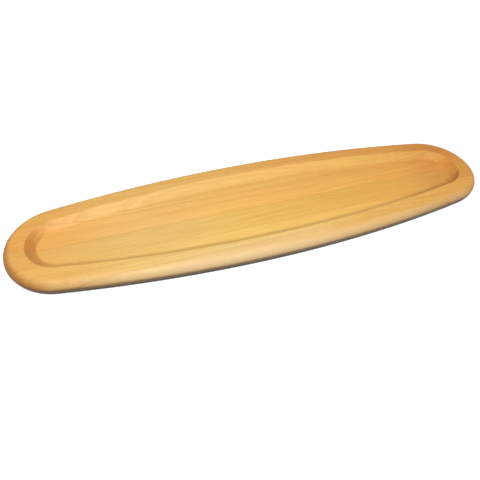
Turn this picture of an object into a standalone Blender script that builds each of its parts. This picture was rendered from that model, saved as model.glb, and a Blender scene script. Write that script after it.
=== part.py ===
"""Oval wooden serving board, glued up from full-length staves.

Metres, +Z up. The grain runs along X, the front long side faces -Y, and the board stands on z = 0
with its middle over the origin. The staves meet in tongue-and-groove edge joints; the oval outline,
the rounded edges and the recess are then cut from the glued blank.
"""

from math import acos, atan2, ceil, cos, hypot, pi, radians, sin

import bmesh
import bpy

# Outline: a four-centre oval with a small arc round each end and a large arc along each side
LENGTH = 0.600
WIDTH = 0.160
SIDE_BOW = 0.020         # how much wider each half is at the middle than the radius of the ends

# Section
THICKNESS = 0.018
TOP_ROUND = 0.010        # rounding of the upper outer edge
BOTTOM_ROUND = 0.008     # rounding of the lower outer edge
RIM_WIDTH = 0.0225       # from the outline to where the recess begins
RECESS_DEPTH = 0.008
RECESS_SLOPE = radians(37)
RECESS_EASE = 0.0025     # rounding where the rim turns down into the recess
RECESS_FILLET = 0.006    # hollow rounding where the slope meets the recess floor

# Glued blank, from the front to the rear
STAVE_NAMES = (
    "front_edge_stave",
    "front_mid_stave",
    "front_centre_stave",
    "rear_centre_stave",
    "rear_mid_stave",
    "rear_edge_stave",
)
BLANK_TRIM = 0.014       # how far the blank stands past the finished board before it is cut to shape
TONGUE_LENGTH = 0.004
TONGUE_THICKNESS = 0.004
GLUE_GAP = 0.0003        # between neighbouring staves, all along the joint

# How far a straight facet may stray from the true arc
CHORD_ERROR = 0.0001

# Honey-coloured hardwood: the colour of each stave in turn
STAVE_COLOURS = (
    (0.80, 0.50, 0.19),
    (0.84, 0.54, 0.20),
    (0.82, 0.51, 0.17),
    (0.85, 0.55, 0.21),
    (0.79, 0.48, 0.16),
    (0.76, 0.45, 0.15),
)
WOOD_ROUGHNESS = 0.42

# Sizes that follow from the driving dimensions
END_RADIUS = WIDTH / 2 - SIDE_BOW
END_CENTRE = LENGTH / 2 - END_RADIUS
SIDE_RADIUS = (END_CENTRE ** 2 + (WIDTH / 2) ** 2 - END_RADIUS ** 2) / (2 * SIDE_BOW)
SIDE_CENTRE = SIDE_RADIUS - WIDTH / 2
FLOOR_HEIGHT = THICKNESS - RECESS_DEPTH
STAVE_PITCH = (WIDTH + 2 * BLANK_TRIM) / len(STAVE_NAMES)


def remove_scene_objects():
    """Start from an empty scene."""
    for old in list(bpy.data.objects):
        bpy.data.objects.remove(old)


def arc_angles(radius, start, end):
    """Angles along an arc, its middle among them, with facets that stay within CHORD_ERROR."""
    step = 2 * acos(1 - min(CHORD_ERROR / radius, 1))
    count = 2 * max(1, ceil(abs(end - start) / step / 2))
    return [start + (end - start) * i / count for i in range(count + 1)]


def oval_arcs():
    """The outline's four arcs, counter-clockwise from the right end: centre, radius and angles."""
    tilt = atan2(END_CENTRE, SIDE_CENTRE)
    end_half = pi / 2 - tilt
    ends = arc_angles(END_RADIUS, -end_half, end_half)
    sides = arc_angles(SIDE_RADIUS, end_half, pi - end_half)
    return (
        ((END_CENTRE, 0), END_RADIUS, ends),
        ((0, -SIDE_CENTRE), SIDE_RADIUS, sides),
        ((-END_CENTRE, 0), END_RADIUS, [pi + a for a in ends]),
        ((0, SIDE_CENTRE), SIDE_RADIUS, [pi + a for a in sides]),
    )


def oval(inset):
    """The outline moved inwards by inset. Its arcs keep their centres, so every ring matches."""
    points = []
    for (cx, cy), radius, angles in oval_arcs():
        for angle in angles[:-1]:
            points.append((cx + (radius - inset) * cos(angle), cy + (radius - inset) * sin(angle)))
    return points


def edge_profile():
    """Section of the rim as (inset, height), from the underside round the outside to the recess floor."""
    top = min(TOP_ROUND, THICKNESS - BOTTOM_ROUND)
    rounded = RECESS_EASE + RECESS_FILLET
    slope = min(RECESS_SLOPE, acos(max(0, 1 - RECESS_DEPTH / rounded)))
    straight = (RECESS_DEPTH - rounded * (1 - cos(slope))) / sin(slope)
    floor_inset = RIM_WIDTH + rounded * sin(slope) + straight * cos(slope)
    profile = []
    for a in arc_angles(BOTTOM_ROUND, 0, pi / 2):
        profile.append((BOTTOM_ROUND * (1 - sin(a)), BOTTOM_ROUND * (1 - cos(a))))
    for a in arc_angles(top, 0, pi / 2):
        profile.append((top * (1 - cos(a)), THICKNESS - top * (1 - sin(a))))
    for a in arc_angles(RECESS_EASE, 0, slope):
        profile.append((RIM_WIDTH + RECESS_EASE * sin(a), THICKNESS - RECESS_EASE * (1 - cos(a))))
    for a in arc_angles(RECESS_FILLET, slope, 0):
        profile.append((floor_inset - RECESS_FILLET * sin(a), FLOOR_HEIGHT + RECESS_FILLET * (1 - cos(a))))
    return profile


def drop_repeats(profile):
    """Leave out a point that falls on the one before it, where two roundings meet."""
    kept = profile[:1]
    for point in profile[1:]:
        if hypot(point[0] - kept[-1][0], point[1] - kept[-1][1]) > CHORD_ERROR / 10:
            kept.append(point)
    return kept


def finished_shape():
    """The outside of the finished board as one closed guide body, with which each stave is trimmed."""
    bm = bmesh.new()
    rings = []
    for inset, height in drop_repeats(edge_profile()):
        rings.append([bm.verts.new((x, y, height)) for x, y in oval(inset)])
    for lower, upper in zip(rings, rings[1:]):
        for i in range(len(lower)):
            j = (i + 1) % len(lower)
            bm.faces.new((lower[i], lower[j], upper[j], upper[i]))
    bm.faces.new(reversed(rings[0]))
    bm.faces.new(rings[-1])
    mesh = bpy.data.meshes.new("finished_shape")
    bm.to_mesh(mesh)
    bm.free()
    mesh.shade_smooth()
    mesh.set_sharp_from_angle(angle=pi / 6)
    guide = bpy.data.objects.new("finished_shape", mesh)
    guide.hide_render = True
    guide.display_type = "WIRE"
    bpy.context.collection.objects.link(guide)
    return guide


def stave_section(has_groove, has_tongue):
    """Cross-section of a stave as (y, z) about its middle, with its groove in front and tongue behind."""
    half = (STAVE_PITCH - GLUE_GAP) / 2
    bottom = -BLANK_TRIM
    top = THICKNESS + BLANK_TRIM
    middle = FLOOR_HEIGHT / 2
    section = [(-half, bottom), (half, bottom)]
    if has_tongue:
        reach = half + TONGUE_LENGTH
        low = middle - TONGUE_THICKNESS / 2
        high = middle + TONGUE_THICKNESS / 2
        section += [(half, low), (reach, low), (reach, high), (half, high)]
    section += [(half, top), (-half, top)]
    if has_groove:
        reach = TONGUE_LENGTH - half
        low = middle - TONGUE_THICKNESS / 2 - GLUE_GAP
        high = middle + TONGUE_THICKNESS / 2 + GLUE_GAP
        section += [(-half, high), (reach, high), (reach, low), (-half, low)]
    return section


def wood(name, colour):
    """Oiled hardwood of one colour."""
    material = bpy.data.materials.new(name)
    material.use_nodes = True
    shader = material.node_tree.nodes["Principled BSDF"]
    shader.inputs["Base Color"].default_value = (*colour, 1)
    shader.inputs["Roughness"].default_value = WOOD_ROUGHNESS
    shader.inputs["Metallic"].default_value = 0
    material.diffuse_color = (*colour, 1)
    return material


def stave(index, guide, parent):
    """One stave: its section run along the blank, then trimmed to the finished shape."""
    name = STAVE_NAMES[index]
    last = len(STAVE_NAMES) - 1
    half_length = LENGTH / 2 + BLANK_TRIM
    bm = bmesh.new()
    section = stave_section(index > 0, index < last)
    end = bm.faces.new([bm.verts.new((-half_length, y, z)) for y, z in section])
    sweep = bmesh.ops.extrude_face_region(bm, geom=[end])
    moved = [item for item in sweep["geom"] if isinstance(item, bmesh.types.BMVert)]
    bmesh.ops.translate(bm, verts=moved, vec=(2 * half_length, 0, 0))
    bmesh.ops.recalc_face_normals(bm, faces=bm.faces)
    mesh = bpy.data.meshes.new(name)
    bm.to_mesh(mesh)
    bm.free()
    mesh.materials.append(wood(name + "_wood", STAVE_COLOURS[index]))
    piece = bpy.data.objects.new(name, mesh)
    piece.parent = parent
    piece.location.y = (index - last / 2) * STAVE_PITCH
    bpy.context.collection.objects.link(piece)
    trim = piece.modifiers.new("trim to finished shape", "BOOLEAN")
    trim.operation = "INTERSECT"
    trim.solver = "EXACT"
    trim.object = guide
    return piece


def build():
    """Glue up the board."""
    remove_scene_objects()
    board = bpy.data.objects.new("serving_board", None)
    bpy.context.collection.objects.link(board)
    guide = finished_shape()
    for index in range(len(STAVE_NAMES)):
        stave(index, guide, board)


build()
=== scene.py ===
"""Looks of the oval serving board: its fine surface, its oiled wood, the light and the camera.

Metres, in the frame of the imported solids: the grain runs along X, the front long side faces -Y, and the
board stands on z = 0. Every stave is modelled again with a finer surface and stands for its solid.
"""

from collections import namedtuple
from math import acos, atan2, ceil, cos, hypot, pi, radians, sin

import bmesh
import bpy
from mathutils import Matrix, Quaternion, Vector


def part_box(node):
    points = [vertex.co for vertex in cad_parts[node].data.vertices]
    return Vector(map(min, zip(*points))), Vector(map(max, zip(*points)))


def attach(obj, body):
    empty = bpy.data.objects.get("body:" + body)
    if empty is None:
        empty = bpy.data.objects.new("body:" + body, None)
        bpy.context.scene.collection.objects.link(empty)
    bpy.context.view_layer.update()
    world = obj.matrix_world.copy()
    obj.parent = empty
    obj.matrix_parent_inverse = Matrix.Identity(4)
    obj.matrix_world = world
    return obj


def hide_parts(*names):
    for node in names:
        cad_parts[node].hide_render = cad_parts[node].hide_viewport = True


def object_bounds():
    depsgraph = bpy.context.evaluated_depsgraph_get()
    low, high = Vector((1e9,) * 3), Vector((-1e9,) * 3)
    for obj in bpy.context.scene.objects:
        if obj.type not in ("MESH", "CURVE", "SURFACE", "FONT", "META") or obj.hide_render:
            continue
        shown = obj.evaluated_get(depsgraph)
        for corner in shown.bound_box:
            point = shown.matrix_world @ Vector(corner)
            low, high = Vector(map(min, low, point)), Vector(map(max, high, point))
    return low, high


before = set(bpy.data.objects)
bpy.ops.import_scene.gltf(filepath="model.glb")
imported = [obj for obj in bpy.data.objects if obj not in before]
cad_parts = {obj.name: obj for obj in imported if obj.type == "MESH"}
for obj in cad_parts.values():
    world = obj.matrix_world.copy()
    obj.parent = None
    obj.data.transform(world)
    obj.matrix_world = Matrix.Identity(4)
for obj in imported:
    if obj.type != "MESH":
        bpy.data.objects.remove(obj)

# The board as the frame gives it, with its staves from the front to the rear
CAD_LOW, CAD_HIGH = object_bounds()
LENGTH, WIDTH, THICKNESS = CAD_HIGH - CAD_LOW
STAVES = sorted(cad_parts, key=lambda name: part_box(name)[0].y)

# Form of the board, as in its solids
SIDE_BOW = 0.020         # how much wider each half is at the middle than the radius of the ends
BOTTOM_ROUND = 0.008     # rounding of the lower outer edge
TOP_ROUND = THICKNESS - BOTTOM_ROUND
RIM_WIDTH = 0.0225       # from the outline to where the recess begins
RECESS_DEPTH = 0.008
RECESS_SLOPE = radians(37)
RECESS_EASE = 0.0025     # rounding where the rim turns down into the recess
RECESS_FILLET = 0.006    # hollow rounding where the slope meets the recess floor
BLANK_TRIM = 0.014       # how far the glued blank stood past the finished board
TONGUE_LENGTH = 0.004
TONGUE_THICKNESS = 0.004
GLUE_GAP = 0.0003        # between neighbouring solids, all along the joint

# The fine surface
CHORD_ERROR = 0.000006   # how far a facet may stray from the true arc
JOINT_LINE = 0.00004     # the hairline that is left between two glued staves
WELD = 0.00001           # points nearer than this are one point
SHARP_ANGLE = radians(30)

# Sizes that follow
END_RADIUS = WIDTH / 2 - SIDE_BOW
END_CENTRE = LENGTH / 2 - END_RADIUS
SIDE_RADIUS = (END_CENTRE ** 2 + (WIDTH / 2) ** 2 - END_RADIUS ** 2) / (2 * SIDE_BOW)
SIDE_CENTRE = SIDE_RADIUS - WIDTH / 2
FLOOR_HEIGHT = THICKNESS - RECESS_DEPTH
SLOPE_ROUNDS = RECESS_EASE + RECESS_FILLET
SLOPE_STRAIGHT = (RECESS_DEPTH - SLOPE_ROUNDS * (1 - cos(RECESS_SLOPE))) / sin(RECESS_SLOPE)
FLOOR_INSET = RIM_WIDTH + SLOPE_ROUNDS * sin(RECESS_SLOPE) + SLOPE_STRAIGHT * cos(RECESS_SLOPE)
JOINTS = [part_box(name)[0].y - GLUE_GAP / 2 for name in STAVES[1:]]
STAVE_PITCH = (WIDTH + 2 * BLANK_TRIM) / len(STAVES)

# Where the photograph was taken from
CAMERA_AZIMUTH = radians(-21.968)
CAMERA_ELEVATION = radians(46.843)
CAMERA_ROLL = radians(3.885)
CAMERA_TARGET = Vector((-0.0460, -0.0387, 0))
CAMERA_DISTANCE = 0.5316
CAMERA_LENS = 34.20      # millimetres, on a sensor 36 millimetres wide
CAMERA_CLIP = 0.01       # nothing nearer than this is seen

# Light
ZENITH_LIGHT = 0.46      # strength of the even light from straight above
HORIZON_LIGHT = 0.20     # and from the sides
Lamp = namedtuple("Lamp", "place size power")    # power in watts
LAMPS = {
    "key": Lamp((-0.15, -0.38, 0.75), 0.35, 5.75),
}
FLOOR_SIZE = 8
FLOOR_DROP = 0.0002      # keeps the floor clear of the board's underside
FLOOR_GLOW = 0.55        # the part of the floor's white that the lamps don't give
GLOW_FADE = (1, 3)       # how many board lengths away the lamps' light begins to fade, and is gone
FLOOR_WHITE = 0.9
FLOOR_BOUNCE = 0.10      # how pale the floor is for the light it throws back at the board
SHADE_REACH = 0.0023     # how far from the board the floor's white is held back
SHADE_DEPTH = 3.0        # the higher, the darker that shade
SHADE_SAMPLES = 32

# Colours of the wood, and tints that multiply them
PALE_WOOD = (0.83, 0.545, 0.180)
DEEP_WOOD = (0.69, 0.390, 0.098)
WORN_AND_SHEEN_WOOD = (0.77, 0.53, 0.29)         # along the outer edge: rubbed dry in patches, and paler there for a painted sheen
RUDDY_AND_SHADE_TINT = (1.00, 0.87, 0.66)        # warmer wood towards the right end, and painted shade where the light falls off there
TIP_TINT = (0.99, 0.84, 0.68)          # near both ends, where oil has crept in along the grain
RIGHT_END_SHADE_TINT = (0.92, 0.88, 0.85)        # painted shade that darkens the right end most
END_GRAIN_TINT = (0.68, 0.54, 0.50)    # cut fibres soak up more oil
CREASE_SHADE_TINT = (0.93, 0.88, 0.75)       # painted shade along the top of the recess's front slope
RIGHT_CREASE_SHADE_TINT = (0.70, 0.61, 0.38)        # and more painted shade there towards the right end
BED_LIGHT_TINT = (1.04, 1.03, 0.90)          # painted warm light that makes the recess floor brighter and yellower
FRONT_SHEEN_TINT = (0.99, 1.05, 1.30)         # a painted sheen that makes the front rim paler towards its middle
REAR_RIM_SHADE_TINT = (0.95, 0.84, 0.76)     # painted shade on the rear rim, deeper towards the right end
FOOT_SHADE_TINT = (0.34, 0.30, 0.28)         # painted shade that darkens the lower edge
GLUE_TINT = (0.86, 0.79, 0.70)
FLECK_TINT = (0.66, 0.52, 0.40)
KNOT_TINT = (0.80, 0.69, 0.60)

# Where the tints lie: where each begins to show, and where it shows in full
Span = namedtuple("Span", "none full")
RUDDY_AND_SHADE = Span(-0.10, 0.22)              # along the board
TIP = Span(0.15, 0.30)                 # from the middle towards either end
RIGHT_END_SHADE = Span(0.19, 0.26)               # along the board
UNSHADED_SIDE = Span(0, -0.03)            # across the board; the front rim gets none of that painted shade
SOAK_AND_SHADE = Span(0.2, -0.2)                 # along the board; the left end's end grain is darker, partly as painted shade on the recess's left slope
END_GRAIN = Span(0.05, 0.8)            # how squarely the surface faces along the grain
RIM = Span(RIM_WIDTH + 0.0015, RIM_WIDTH - 0.001)
SLOPE_TOP = Span(RIM_WIDTH, RIM_WIDTH + 0.002)
SLOPE_FOOT = Span(FLOOR_INSET - 0.0005, FLOOR_INSET - 0.0035)
BED = Span(FLOOR_INSET - 0.003, FLOOR_INSET)
BED_LIGHT_ALONG = Span(0.20, 0.10)           # to the left and right of the painted light's middle
BED_LIGHT_AT = 0.07                          # along the board
CREASE_SHADE = Span(RIM_WIDTH + 0.0095, RIM_WIDTH + 0.0025)
RIGHT_CREASE_SHADE_ALONG = Span(0.155, 0.205)       # along the board
RIGHT_CREASE_SHADE_SIDE = Span(-0.013, -0.026)      # across the board
UPPER = Span(0.004, 0.009)             # above the table; the underside has no rim or recess
CREASE_SHADE_SIDE = Span(0.01, -0.03)        # across the board
REAR_SIDE = Span(0, 0.025)             # across the board
REAR_ALONG = Span(-0.28, 0.15)         # along the board
WEAR_AND_SHEEN = Span(0.010, 0.001)              # inside the outline
WEAR_AND_SHEEN_ON_ENDS = Span(0.6, 0.0)          # as end grain shows
WEAR_AND_SHEEN_RIGHT = Span(0, 0.10)             # along the board
FRONT_SHEEN = Span(0.17, 0.03)                # to the left and right of the painted sheen's middle
FRONT_SHEEN_AT = -0.05                        # along the board; the middle of the painted sheen
FRONT_SHEEN_SIDE = Span(-0.01, -0.04)         # across the board
FOOT_SHADE = Span(0.0115, 0.007)             # above the table; where the painted shade on the lower edge lies
FOOT_SHADE_EDGE = Span(0.011, 0.004)         # inside the outline
GLUE = Span(0.0006, 0)                 # from the joint
KNOT = (-0.2386, -0.0582, 0.0149)      # on the front edge, near the left end
KNOT_SIZE = (0.0028, 0.0014, 0.0014)
KNOT_MARK = Span(1.5, 0.2)             # in knot sizes
KNOT_SWIRL = Span(7, 0)                # in knot sizes
KNOT_PUSH = 0.004                      # how far the knot pushes the growth rings aside

# Textures of the wood: cycles per metre along and across the grain, and octaves of finer detail
Texture = namedtuple("Texture", "scale detail")
WANDER = Texture((2.0, 22, 22), 2)     # growth rings stray sideways
FADING = Texture((1.6, 60, 60), 1)     # growth rings show more or less
CLOUD = Texture((3.0, 35, 35), 2)
STREAK = Texture((14, 330, 330), 2)
FIBRE = Texture((40, 1100, 1100), 3)
FLECK = Texture((380, 2400, 160), 1)   # rays, short along the grain and standing upright
PORE = Texture((110, 3200, 3200), 1)
PATCH = Texture((16, 60, 60), 2)       # the wear and its painted sheen come and go
RING_WIDTH = 0.0022
RING_WANDER = 0.012                    # how far a growth ring strays sideways along the board
RING_UNEVEN = 2.4                      # how many ring widths the rings' spacing varies by
RING_UNEVEN_SCALE = 0.37               # how soon it varies, per ring

# Where each texture begins to show, and where it shows in full
LATE_RISE = Span(0.1, 0.9)             # in the course of a year
LATE_FALL = Span(1.0, 0.92)            # in the course of a year
RINGS_SHOWN = Span(0.3, 0.7)           # in the noise of FADING
FLECKS_SHOWN = Span(0.62, 0.72)        # in the noise of FLECK
PORES_SHOWN = Span(0.60, 0.75)         # in the noise of PORE
WEAR_AND_SHEEN_SHOWN = Span(0.0, 0.6)            # in the noise of PATCH

# How far each texture brings out the deep colour of the wood
DEEP_START = -0.85                     # without any of them
DEEP_CLOUD = 1.0
DEEP_LATE = 0.32
DEEP_LATE_ON_ENDS = 0.55               # more on end grain
DEEP_STREAK = 0.9
DEEP_FIBRE = 0.6

# How strongly the other marks show
FLECK_SHARE = 0.4
PORE_SHARE = 0.3
PORE_ON_ENDS = 0.45                    # more on end grain
WEAR_AND_SHEEN_SHARE = 0.5
WEAR_AND_SHEEN_AT_FRONT = 0.25                 # more under the painted sheen on the front rim
WEAR_AND_SHEEN_AT_RIGHT = 0.25                   # more towards the right end
RIGHT_SOAK = 0.15                      # end grain's oil at the right, as a part of that at the left, which adds painted shade
REAR_SLOPE_SHEEN_SHARE = 0.28                     # painted sheen on the rear slope of the recess

# Finish
WOOD_SPECULAR = 0.25
WOOD_ROUGHNESS = 0.44
ROUGH_FIBRE = 0.16                     # how far the roughness varies with the fibres
ROUGH_ENDS = 0.12                      # more on end grain
ROUGH_WEAR = 0.14                      # more where the edge is rubbed dry
BUMP_HEIGHT = 0.0001
BUMP_STRENGTH = 0.35
LATE_HEIGHT = 0.4                      # late wood stands up, as a part of the fibres' height
PORE_HEIGHT = -0.8                     # pores sink in

# The planks the staves were sawn from: the heart's place across and up, slants of the grain in degrees, tone
Plank = namedtuple("Plank", "heart stray dip tone")
PLANKS = (
    Plank((0.045, -0.070), 0.5, 0.3, (1.00, 1.04, 1.16)),
    Plank((-0.030, -0.060), -0.4, 0.5, (1.01, 1.04, 1.05)),
    Plank((0.055, -0.040), 0.3, -0.4, (0.99, 1.00, 1.00)),
    Plank((-0.020, 0.085), -0.6, 0.2, (1.06, 0.99, 0.95)),
    Plank((0.035, -0.055), 0.4, 0.6, (1.01, 0.98, 0.90)),
    Plank((-0.050, -0.045), -0.5, -0.3, (0.99, 0.93, 0.80)),
)


# Geometry

def arc_angles(radius, start, end):
    """Angles along an arc of an odd number of facets, which stay within CHORD_ERROR."""
    facet = 2 * acos(1 - CHORD_ERROR / radius)
    count = 2 * ceil(abs(end - start) / facet / 2) + 1
    return [start + (end - start) * i / count for i in range(count + 1)]


def oval_arcs():
    """The outline's arcs, counter-clockwise from the facet in the middle of the right end."""
    tilt = atan2(END_CENTRE, SIDE_CENTRE)
    end_half = pi / 2 - tilt
    ends = arc_angles(END_RADIUS, -end_half, end_half)
    sides = arc_angles(SIDE_RADIUS, end_half, pi - end_half)[1:-1]
    middle = len(ends) // 2
    return (
        ((END_CENTRE, 0), END_RADIUS, ends[middle:]),
        ((0, -SIDE_CENTRE), SIDE_RADIUS, sides),
        ((-END_CENTRE, 0), END_RADIUS, [pi + a for a in ends]),
        ((0, SIDE_CENTRE), SIDE_RADIUS, [pi + a for a in sides]),
        ((END_CENTRE, 0), END_RADIUS, ends[:middle]),
    )


def oval(inset):
    """The outline moved inwards by inset. Its arcs keep their centres, so every ring matches."""
    points = []
    for (cx, cy), radius, angles in oval_arcs():
        for angle in angles:
            points.append((cx + (radius - inset) * cos(angle), cy + (radius - inset) * sin(angle)))
    return points


def edge_profile():
    """Section of the rim as (inset, height), from the underside round the outside to the recess floor."""
    profile = []
    for a in arc_angles(BOTTOM_ROUND, 0, pi / 2):
        profile.append((BOTTOM_ROUND * (1 - sin(a)), BOTTOM_ROUND * (1 - cos(a))))
    for a in arc_angles(TOP_ROUND, 0, pi / 2)[1:]:
        profile.append((TOP_ROUND * (1 - cos(a)), THICKNESS - TOP_ROUND * (1 - sin(a))))
    for a in arc_angles(RECESS_EASE, 0, RECESS_SLOPE):
        profile.append((RIM_WIDTH + RECESS_EASE * sin(a), THICKNESS - RECESS_EASE * (1 - cos(a))))
    for a in arc_angles(RECESS_FILLET, RECESS_SLOPE, 0):
        profile.append((FLOOR_INSET - RECESS_FILLET * sin(a), FLOOR_HEIGHT + RECESS_FILLET * (1 - cos(a))))
    return profile


def fill_oval(bm, ring, upwards):
    """Close an oval ring with a ladder of quads, each rung running straight across the board."""
    for k in range(len(ring) // 2 - 1):
        corners = [ring[-k - 1], ring[k], ring[k + 1], ring[-k - 2]]
        bm.faces.new(corners if upwards else reversed(corners))


def finished_shape():
    """The outside of the finished board as one closed body."""
    bm = bmesh.new()
    rings = []
    for inset, height in edge_profile():
        rings.append([bm.verts.new((x, y, height)) for x, y in oval(inset)])
    for lower, upper in zip(rings, rings[1:]):
        for i in range(len(lower)):
            j = (i + 1) % len(lower)
            bm.faces.new((lower[i], lower[j], upper[j], upper[i]))
    fill_oval(bm, rings[0], upwards=False)
    fill_oval(bm, rings[-1], upwards=True)
    return add_object("finished_shape", bm)


def add_object(name, bm):
    """A mesh object made from bm, at the origin of the frame."""
    mesh = bpy.data.meshes.new(name)
    bm.to_mesh(mesh)
    bm.free()
    made = bpy.data.objects.new(name, mesh)
    bpy.context.scene.collection.objects.link(made)
    return made


def joint_steps(joint):
    """A joint's line across the blank as (y, z) from below upwards, with the tongue standing to the rear."""
    low = FLOOR_HEIGHT / 2 - TONGUE_THICKNESS / 2
    high = FLOOR_HEIGHT / 2 + TONGUE_THICKNESS / 2
    return [
        (joint, -BLANK_TRIM),
        (joint, low),
        (joint + TONGUE_LENGTH, low),
        (joint + TONGUE_LENGTH, high),
        (joint, high),
        (joint, THICKNESS + BLANK_TRIM),
    ]


def plain_edge(y):
    """The blank's outer edge as (y, z) from below upwards."""
    return [(y, -BLANK_TRIM), (y, THICKNESS + BLANK_TRIM)]


def stave_blank(index):
    """A stave as it lies in the glued blank, before the board is cut to shape."""
    front = plain_edge(CAD_LOW.y - BLANK_TRIM)
    rear = plain_edge(CAD_HIGH.y + BLANK_TRIM)
    if index > 0:
        front = joint_steps(JOINTS[index - 1] + JOINT_LINE / 2)
    if index < len(JOINTS):
        rear = joint_steps(JOINTS[index] - JOINT_LINE / 2)
    half_length = LENGTH / 2 + BLANK_TRIM
    bm = bmesh.new()
    end = bm.faces.new([bm.verts.new((-half_length, y, z)) for y, z in rear + front[::-1]])
    sweep = bmesh.ops.extrude_face_region(bm, geom=[end])
    moved = [item for item in sweep["geom"] if isinstance(item, bmesh.types.BMVert)]
    bmesh.ops.translate(bm, verts=moved, vec=(2 * half_length, 0, 0))
    bmesh.ops.recalc_face_normals(bm, faces=bm.faces)
    return add_object(STAVES[index] + "_fine", bm)


def weld(mesh):
    """Join the points that a cut has left on top of each other, and split its many-sided faces."""
    bm = bmesh.new()
    bm.from_mesh(mesh)
    bmesh.ops.remove_doubles(bm, verts=bm.verts, dist=WELD)
    bmesh.ops.dissolve_degenerate(bm, edges=bm.edges, dist=WELD)
    many_sided = [face for face in bm.faces if len(face.verts) > 4]
    bmesh.ops.triangulate(bm, faces=many_sided, ngon_method="BEAUTY")
    bm.to_mesh(mesh)
    bm.free()


def trim(piece, guide):
    """Cut a piece to the guide's shape, for good."""
    cut = piece.modifiers.new("trim", "BOOLEAN")
    cut.operation = "INTERSECT"
    cut.solver = "EXACT"
    cut.object = guide
    trimmed = piece.evaluated_get(bpy.context.evaluated_depsgraph_get())
    mesh = bpy.data.meshes.new_from_object(trimmed)
    mesh.name = piece.name
    weld(mesh)
    piece.modifiers.clear()
    piece.data = mesh
    mesh.shade_smooth()
    mesh.set_sharp_from_angle(angle=SHARP_ANGLE)


def inset_at(x, y):
    """How far a point lies inside the outline."""
    across = abs(y) + SIDE_CENTRE
    if atan2(abs(x), across) > atan2(END_CENTRE, SIDE_CENTRE):
        return END_RADIUS - hypot(abs(x) - END_CENTRE, y)
    return SIDE_RADIUS - hypot(x, across)


def mark_insets(mesh):
    """Keep every point's inset with the mesh, for the worn edge, painted sheen and painted shade in its
    material.
    """
    marks = mesh.attributes.new("inset", "FLOAT", "POINT")
    for vertex, mark in zip(mesh.vertices, marks.data):
        mark.value = inset_at(vertex.co.x, vertex.co.y)


# Materials

Spot = namedtuple("Spot", "place along across up inset rim slope bed rear end_grain from_knot")
Marks = namedtuple("Marks", "late cloud streak fibre fleck pore")


def add_node(tree, kind, inputs, **settings):
    """A node with its settings made, and each input given a value or wired to a socket."""
    made = tree.nodes.new("ShaderNode" + kind)
    for name, value in settings.items():
        setattr(made, name, value)
    for key, value in inputs.items():
        if isinstance(value, bpy.types.NodeSocket):
            tree.links.new(value, made.inputs[key])
        else:
            made.inputs[key].default_value = value
    return made


def calc(tree, operation, *values):
    """The result of a Math node."""
    return add_node(tree, "Math", dict(enumerate(values)), operation=operation).outputs[0]


def stretched(tree, vector, scale):
    """Coordinates multiplied axis by axis."""
    return add_node(tree, "VectorMath", {0: vector, 1: scale}, operation="MULTIPLY").outputs[0]


def noise(tree, vector, texture):
    """Noise around 0.5, with the texture's own scale along each axis."""
    inputs = {"Vector": stretched(tree, vector, texture.scale), "Scale": 1.0, "Detail": texture.detail}
    return add_node(tree, "TexNoise", inputs).outputs[0]


def step(tree, value, none, full):
    """A smooth step from 0 at none to 1 at full."""
    inputs = {"Value": value, "From Min": none, "From Max": full}
    return add_node(tree, "MapRange", inputs, interpolation_type="SMOOTHSTEP").outputs[0]


def mix(tree, share, first, second, blend="MIX"):
    """Two colours mixed."""
    inputs = {0: share, 6: first, 7: second}
    return add_node(tree, "Mix", inputs, data_type="RGBA", blend_type=blend).outputs[2]


def new_material(name):
    """A material with an empty node tree, its tree and its output node."""
    material = bpy.data.materials.new(name)
    material.use_nodes = True
    tree = material.node_tree
    tree.nodes.clear()
    output = tree.nodes.new("ShaderNodeOutputMaterial")
    return material, tree, output


def grey(value):
    """A grey colour."""
    return (value, value, value, 1)


def toned(colour, tone):
    """A colour multiplied by a tone, channel by channel."""
    return (*(channel * part for channel, part in zip(colour, tone)), 1)


def tinted(tree, share, colour, tint):
    """A colour multiplied by a tint, as far as share says."""
    return mix(tree, share, colour, (*tint, 1), "MULTIPLY")


def read_spot(tree):
    """What the wood goes by at each point of the surface."""
    given = add_node(tree, "TexCoord", {}).outputs
    along, across, up = add_node(tree, "SeparateXYZ", {0: given["Object"]}).outputs
    inset = add_node(tree, "Attribute", {}, attribute_name="inset").outputs["Fac"]
    upper = step(tree, up, *UPPER)
    rim = calc(tree, "MULTIPLY", step(tree, inset, *RIM), upper)
    slope = calc(tree, "MULTIPLY", step(tree, inset, *SLOPE_TOP), step(tree, inset, *SLOPE_FOOT))
    slope = calc(tree, "MULTIPLY", slope, upper)
    bed = calc(tree, "MULTIPLY", step(tree, inset, *BED), upper)
    rear = calc(tree, "MULTIPLY", step(tree, across, *REAR_SIDE), step(tree, along, *REAR_ALONG))
    facing = add_node(tree, "SeparateXYZ", {0: given["Normal"]}).outputs["X"]
    end_grain = step(tree, calc(tree, "ABSOLUTE", facing), *END_GRAIN)
    inputs = {"Vector": given["Object"], "Location": KNOT, "Scale": KNOT_SIZE}
    to_knot = add_node(tree, "Mapping", inputs, vector_type="TEXTURE").outputs[0]
    from_knot = add_node(tree, "VectorMath", {0: to_knot}, operation="LENGTH").outputs["Value"]
    return Spot(given["Object"], along, across, up, inset, rim, slope, bed, rear, end_grain, from_knot)


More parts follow.
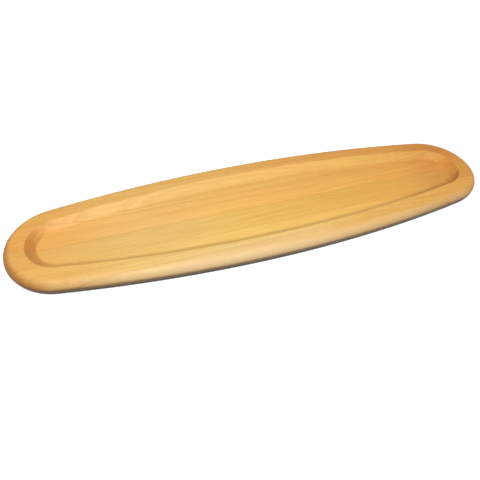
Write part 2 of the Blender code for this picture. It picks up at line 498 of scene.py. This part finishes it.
def growth_rings(tree, grain, swirl):
    """The late wood of the growth rings, from 0 to 1, round the heart that the grain runs along."""
    across = stretched(tree, grain, (0, 1, 1))
    radius = add_node(tree, "VectorMath", {0: across}, operation="LENGTH").outputs["Value"]
    radius = calc(tree, "MULTIPLY_ADD", noise(tree, grain, WANDER), RING_WANDER, radius)
    radius = calc(tree, "MULTIPLY_ADD", swirl, KNOT_PUSH, radius)
    years = calc(tree, "DIVIDE", radius, RING_WIDTH)
    inputs = {"W": years, "Scale": RING_UNEVEN_SCALE}
    uneven = add_node(tree, "TexNoise", inputs, noise_dimensions="1D").outputs[0]
    years = calc(tree, "MULTIPLY_ADD", uneven, RING_UNEVEN, years)
    phase = calc(tree, "FRACT", years)
    late = calc(tree, "MULTIPLY", step(tree, phase, *LATE_RISE), step(tree, phase, *LATE_FALL))
    shown = step(tree, noise(tree, grain, FADING), *RINGS_SHOWN)
    return calc(tree, "MULTIPLY", late, shown)


def read_marks(tree, spot, middle, plank):
    """The marks that follow the grain of the plank, whose heart lay outside the stave."""
    heart = (0, middle + plank.heart[0], plank.heart[1])
    turn = (0, radians(plank.dip), radians(plank.stray))
    inputs = {"Vector": spot.place, "Location": heart, "Rotation": turn}
    grain = add_node(tree, "Mapping", inputs, vector_type="TEXTURE").outputs[0]
    late = growth_rings(tree, grain, step(tree, spot.from_knot, *KNOT_SWIRL))
    fleck = step(tree, noise(tree, grain, FLECK), *FLECKS_SHOWN)
    pore = step(tree, noise(tree, grain, PORE), *PORES_SHOWN)
    cloud, streak, fibre = (noise(tree, grain, texture) for texture in (CLOUD, STREAK, FIBRE))
    return Marks(late, cloud, streak, fibre, fleck, pore)


def sawn_colour(tree, spot, marks, tone):
    """The colour of the bare wood, with painted shade where the light falls off towards the right end."""
    late_share = calc(tree, "MULTIPLY_ADD", spot.end_grain, DEEP_LATE_ON_ENDS, DEEP_LATE)
    deep = calc(tree, "MULTIPLY_ADD", marks.late, late_share, DEEP_START)
    deep = calc(tree, "MULTIPLY_ADD", marks.cloud, DEEP_CLOUD, deep)
    deep = calc(tree, "MULTIPLY_ADD", marks.streak, DEEP_STREAK, deep)
    deep = calc(tree, "MULTIPLY_ADD", marks.fibre, DEEP_FIBRE, deep)
    colour = mix(tree, deep, toned(PALE_WOOD, tone), toned(DEEP_WOOD, tone))
    colour = tinted(tree, step(tree, spot.along, *RUDDY_AND_SHADE), colour, RUDDY_AND_SHADE_TINT)
    colour = tinted(tree, step(tree, spot.from_knot, *KNOT_MARK), colour, KNOT_TINT)
    colour = tinted(tree, calc(tree, "MULTIPLY", marks.fleck, FLECK_SHARE), colour, FLECK_TINT)
    pore_share = calc(tree, "MULTIPLY_ADD", spot.end_grain, PORE_ON_ENDS, PORE_SHARE)
    return tinted(tree, calc(tree, "MULTIPLY", marks.pore, pore_share), colour, FLECK_TINT)


def oiled(tree, spot, colour):
    """The colour after years of oil, which gathers in the ends; with painted shade at the right end, on the
    left end grain, on the rear rim and along the top of the front slope.
    """
    to_tip = calc(tree, "ABSOLUTE", spot.along)
    colour = tinted(tree, step(tree, to_tip, *TIP), colour, TIP_TINT)
    unshaded = calc(tree, "MULTIPLY", spot.rim, step(tree, spot.across, *UNSHADED_SIDE))
    right_end_shade = calc(tree, "MULTIPLY", step(tree, spot.along, *RIGHT_END_SHADE), calc(tree, "SUBTRACT", 1, unshaded))
    colour = tinted(tree, right_end_shade, colour, RIGHT_END_SHADE_TINT)
    inputs = {"Value": spot.along, "From Min": SOAK_AND_SHADE.none, "From Max": SOAK_AND_SHADE.full, "To Min": RIGHT_SOAK}
    soak_and_shade = add_node(tree, "MapRange", inputs).outputs[0]
    colour = tinted(tree, calc(tree, "MULTIPLY", spot.end_grain, soak_and_shade), colour, END_GRAIN_TINT)
    colour = tinted(tree, calc(tree, "MULTIPLY", spot.rim, spot.rear), colour, REAR_RIM_SHADE_TINT)
    shaded_slope_top = calc(tree, "MULTIPLY", spot.slope, step(tree, spot.inset, *CREASE_SHADE))
    crease_shade = calc(tree, "MULTIPLY", shaded_slope_top, step(tree, spot.across, *CREASE_SHADE_SIDE))
    colour = tinted(tree, crease_shade, colour, CREASE_SHADE_TINT)
    right_crease_shade = calc(tree, "MULTIPLY", shaded_slope_top, step(tree, spot.across, *RIGHT_CREASE_SHADE_SIDE))
    right_crease_shade = calc(tree, "MULTIPLY", right_crease_shade, step(tree, spot.along, *RIGHT_CREASE_SHADE_ALONG))
    return tinted(tree, right_crease_shade, colour, RIGHT_CREASE_SHADE_TINT)


def bed_lit(tree, spot, colour):
    """The colour with painted warm light on the recess floor."""
    off = calc(tree, "ABSOLUTE", calc(tree, "SUBTRACT", spot.along, BED_LIGHT_AT))
    bed = calc(tree, "MULTIPLY", spot.bed, step(tree, off, *BED_LIGHT_ALONG))
    bed = calc(tree, "MULTIPLY", bed, calc(tree, "SUBTRACT", 1, spot.rear))
    return tinted(tree, bed, colour, BED_LIGHT_TINT)


def rear_slope_sheened(tree, spot, colour):
    """The colour with a painted sheen that makes the rear slope of the recess paler."""
    rear_slope = calc(tree, "MULTIPLY", spot.slope, spot.rear)
    return mix(tree, calc(tree, "MULTIPLY", rear_slope, REAR_SLOPE_SHEEN_SHARE), colour, (*PALE_WOOD, 1))


def front_sheen_share(tree, spot):
    """How near a point is, along the board, to the middle of the painted sheen on the front rim."""
    off = calc(tree, "ABSOLUTE", calc(tree, "SUBTRACT", spot.along, FRONT_SHEEN_AT))
    return step(tree, off, *FRONT_SHEEN)


def wear_and_sheen_of(tree, spot, front_sheen):
    """How far the outer edge is rubbed dry and paled by a painted sheen: in patches, and not on the end
    grain.
    """
    patchy = step(tree, noise(tree, spot.place, PATCH), *WEAR_AND_SHEEN_SHOWN)
    wear_and_sheen = calc(tree, "MULTIPLY", step(tree, spot.inset, *WEAR_AND_SHEEN), patchy)
    wear_and_sheen = calc(tree, "MULTIPLY", wear_and_sheen, step(tree, spot.end_grain, *WEAR_AND_SHEEN_ON_ENDS))
    share = calc(tree, "MULTIPLY_ADD", front_sheen, WEAR_AND_SHEEN_AT_FRONT, WEAR_AND_SHEEN_SHARE)
    share = calc(tree, "MULTIPLY_ADD", step(tree, spot.along, *WEAR_AND_SHEEN_RIGHT), WEAR_AND_SHEEN_AT_RIGHT, share)
    return calc(tree, "MULTIPLY", wear_and_sheen, share)


def worn_sheened_and_shaded(tree, spot, colour, wear_and_sheen, front_sheen):
    """The colour with a rubbed edge, and painted light: a sheen on that edge and on the front rim, and shade
    along the lower edge.
    """
    front_rim = calc(tree, "MULTIPLY", spot.rim, step(tree, spot.across, *FRONT_SHEEN_SIDE))
    colour = tinted(tree, calc(tree, "MULTIPLY", front_rim, front_sheen), colour, FRONT_SHEEN_TINT)
    colour = mix(tree, wear_and_sheen, colour, (*WORN_AND_SHEEN_WOOD, 1))
    foot_shade = calc(tree, "MULTIPLY", step(tree, spot.up, *FOOT_SHADE), step(tree, spot.inset, *FOOT_SHADE_EDGE))
    return tinted(tree, foot_shade, colour, FOOT_SHADE_TINT)


def glued(tree, spot, colour, middle):
    """The colour with the thin dark line of glue along each joint, round its tongue too."""
    off = calc(tree, "SUBTRACT", spot.across, middle)
    nearer_joint = calc(tree, "MULTIPLY", calc(tree, "SIGN", off), STAVE_PITCH / 2)
    past_joint = calc(tree, "SUBTRACT", off, nearer_joint)
    past_tongue = calc(tree, "SUBTRACT", past_joint, TONGUE_LENGTH)
    off_middle = calc(tree, "ABSOLUTE", calc(tree, "SUBTRACT", spot.up, FLOOR_HEIGHT / 2))
    beside_tongue = calc(tree, "SUBTRACT", off_middle, TONGUE_THICKNESS / 2)
    past_step = calc(tree, "MAXIMUM", beside_tongue, past_tongue)
    to_joint = calc(tree, "ABSOLUTE", calc(tree, "MINIMUM", past_joint, past_step))
    return tinted(tree, step(tree, to_joint, *GLUE), colour, GLUE_TINT)


def satin(tree, spot, marks, wear_and_sheen):
    """The roughness of the oiled surface."""
    roughness = calc(tree, "MULTIPLY_ADD", marks.fibre, ROUGH_FIBRE, WOOD_ROUGHNESS - ROUGH_FIBRE / 2)
    roughness = calc(tree, "MULTIPLY_ADD", spot.end_grain, ROUGH_ENDS, roughness)
    return calc(tree, "MULTIPLY_ADD", wear_and_sheen, ROUGH_WEAR, roughness)


def relief(tree, marks):
    """The fine ups and downs of the surface, as its normal."""
    height = calc(tree, "MULTIPLY_ADD", marks.late, LATE_HEIGHT, marks.fibre)
    height = calc(tree, "MULTIPLY_ADD", marks.pore, PORE_HEIGHT, height)
    inputs = {"Height": height, "Strength": BUMP_STRENGTH, "Distance": BUMP_HEIGHT}
    return add_node(tree, "Bump", inputs).outputs[0]


def wood(name, middle, plank):
    """Oiled hardwood for the stave whose middle lies at this place across the board."""
    material, tree, output = new_material(name)
    spot = read_spot(tree)
    marks = read_marks(tree, spot, middle, plank)
    front_sheen = front_sheen_share(tree, spot)
    wear_and_sheen = wear_and_sheen_of(tree, spot, front_sheen)
    colour = sawn_colour(tree, spot, marks, plank.tone)
    colour = worn_sheened_and_shaded(tree, spot, colour, wear_and_sheen, front_sheen)
    colour = oiled(tree, spot, colour)
    colour = bed_lit(tree, spot, colour)
    colour = rear_slope_sheened(tree, spot, colour)
    colour = glued(tree, spot, colour, middle)
    inputs = {
        "Base Color": colour,
        "Roughness": satin(tree, spot, marks, wear_and_sheen),
        "Specular IOR Level": WOOD_SPECULAR,
        "Normal": relief(tree, marks),
    }
    shader = add_node(tree, "BsdfPrincipled", inputs)
    tree.links.new(shader.outputs[0], output.inputs["Surface"])
    return material


def seen(tree):
    """1 for a ray that shows the surroundings in the picture, 0 for one that only lights the board."""
    path = add_node(tree, "LightPath", {}).outputs
    straight = calc(tree, "MAXIMUM", path["Is Camera Ray"], path["Is Glossy Ray"])
    return calc(tree, "MAXIMUM", straight, path["Is Transmission Ray"])


def floor_material():
    """White in the picture but for the board's shadow, and darker for the light it throws back."""
    material, tree, output = new_material("floor")
    bounce = add_node(tree, "BsdfDiffuse", {"Color": grey(FLOOR_BOUNCE)})
    inputs = {"Distance": SHADE_REACH}
    openness = add_node(tree, "AmbientOcclusion", inputs, samples=SHADE_SAMPLES).outputs["AO"]
    openness = calc(tree, "POWER", openness, SHADE_DEPTH)
    lit = add_node(tree, "BsdfDiffuse", {"Color": calc(tree, "MULTIPLY", openness, FLOOR_WHITE)})
    spot = add_node(tree, "TexCoord", {}).outputs["Object"]
    away = add_node(tree, "VectorMath", {0: spot}, operation="LENGTH").outputs["Value"]
    near, far = (lengths * LENGTH for lengths in GLOW_FADE)
    inputs = {"Value": away, "From Min": near, "From Max": far, "To Min": FLOOR_GLOW}
    glow = add_node(tree, "MapRange", inputs).outputs[0]
    glow = add_node(tree, "Emission", {"Strength": calc(tree, "MULTIPLY", openness, glow)})
    white = add_node(tree, "AddShader", {0: lit.outputs[0], 1: glow.outputs[0]})
    both = add_node(tree, "MixShader", {0: seen(tree), 1: bounce.outputs[0], 2: white.outputs[0]})
    tree.links.new(both.outputs[0], output.inputs["Surface"])
    return material


# The picture

def add_floor():
    """A plain pale floor under the board."""
    bm = bmesh.new()
    bmesh.ops.create_grid(bm, x_segments=1, y_segments=1, size=FLOOR_SIZE / 2)
    floor = add_object("floor", bm)
    floor.location.z = CAD_LOW.z - FLOOR_DROP
    floor.data.materials.append(floor_material())


def add_world():
    """Even light from all round, which the picture shows as white."""
    world = bpy.data.worlds.new("studio")
    world.use_nodes = True
    tree = world.node_tree
    tree.nodes.clear()
    direction = add_node(tree, "TexCoord", {}).outputs["Generated"]
    height = add_node(tree, "SeparateXYZ", {0: direction}).outputs["Z"]
    inputs = {"Value": height, "To Min": HORIZON_LIGHT, "To Max": ZENITH_LIGHT}
    dome = add_node(tree, "MapRange", inputs).outputs[0]
    strength = add_node(tree, "MapRange", {"Value": seen(tree), "To Min": dome}).outputs[0]
    background = add_node(tree, "Background", {"Color": (1, 1, 1, 1), "Strength": strength})
    output = add_node(tree, "OutputWorld", {})
    tree.links.new(background.outputs[0], output.inputs["Surface"])
    bpy.context.scene.world = world


def add_lamps():
    """Soft round lamps that point at the middle of the board."""
    for name, lamp in LAMPS.items():
        light = bpy.data.lights.new(name, "AREA")
        light.shape = "DISK"
        light.size = lamp.size
        light.energy = lamp.power
        made = bpy.data.objects.new(name, light)
        made.location = lamp.place
        made.visible_camera = False
        made.rotation_mode = "QUATERNION"
        made.rotation_quaternion = (-Vector(lamp.place)).to_track_quat("-Z", "Y")
        bpy.context.scene.collection.objects.link(made)


def add_camera():
    """The camera at the photograph's place."""
    back = Vector((
        sin(CAMERA_AZIMUTH) * cos(CAMERA_ELEVATION),
        -cos(CAMERA_AZIMUTH) * cos(CAMERA_ELEVATION),
        sin(CAMERA_ELEVATION),
    ))
    turn = (-back).to_track_quat("-Z", "Y") @ Quaternion((0, 0, 1), CAMERA_ROLL)
    camera = bpy.data.objects.new("camera", bpy.data.cameras.new("camera"))
    camera.data.lens = CAMERA_LENS
    camera.data.clip_start = CAMERA_CLIP
    camera.matrix_world = Matrix.LocRotScale(CAMERA_TARGET + back * CAMERA_DISTANCE, turn, None)
    bpy.context.scene.collection.objects.link(camera)
    bpy.context.scene.camera = camera


# The board

def add_board():
    """Every stave, trimmed to the finished board, in its own wood."""
    guide = finished_shape()
    edges = [CAD_LOW.y - BLANK_TRIM, *JOINTS, CAD_HIGH.y + BLANK_TRIM]
    for index, node in enumerate(STAVES):
        piece = stave_blank(index)
        trim(piece, guide)
        mark_insets(piece.data)
        middle = (edges[index] + edges[index + 1]) / 2
        piece.data.materials.clear()
        piece.data.materials.append(wood(node + "_wood", middle, PLANKS[index]))
        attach(piece, "root")
        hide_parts(node)
    bpy.data.objects.remove(guide)


add_board()
add_floor()
add_world()
add_lamps()
add_camera()
bpy.context.scene.view_settings.view_transform = "Standard"
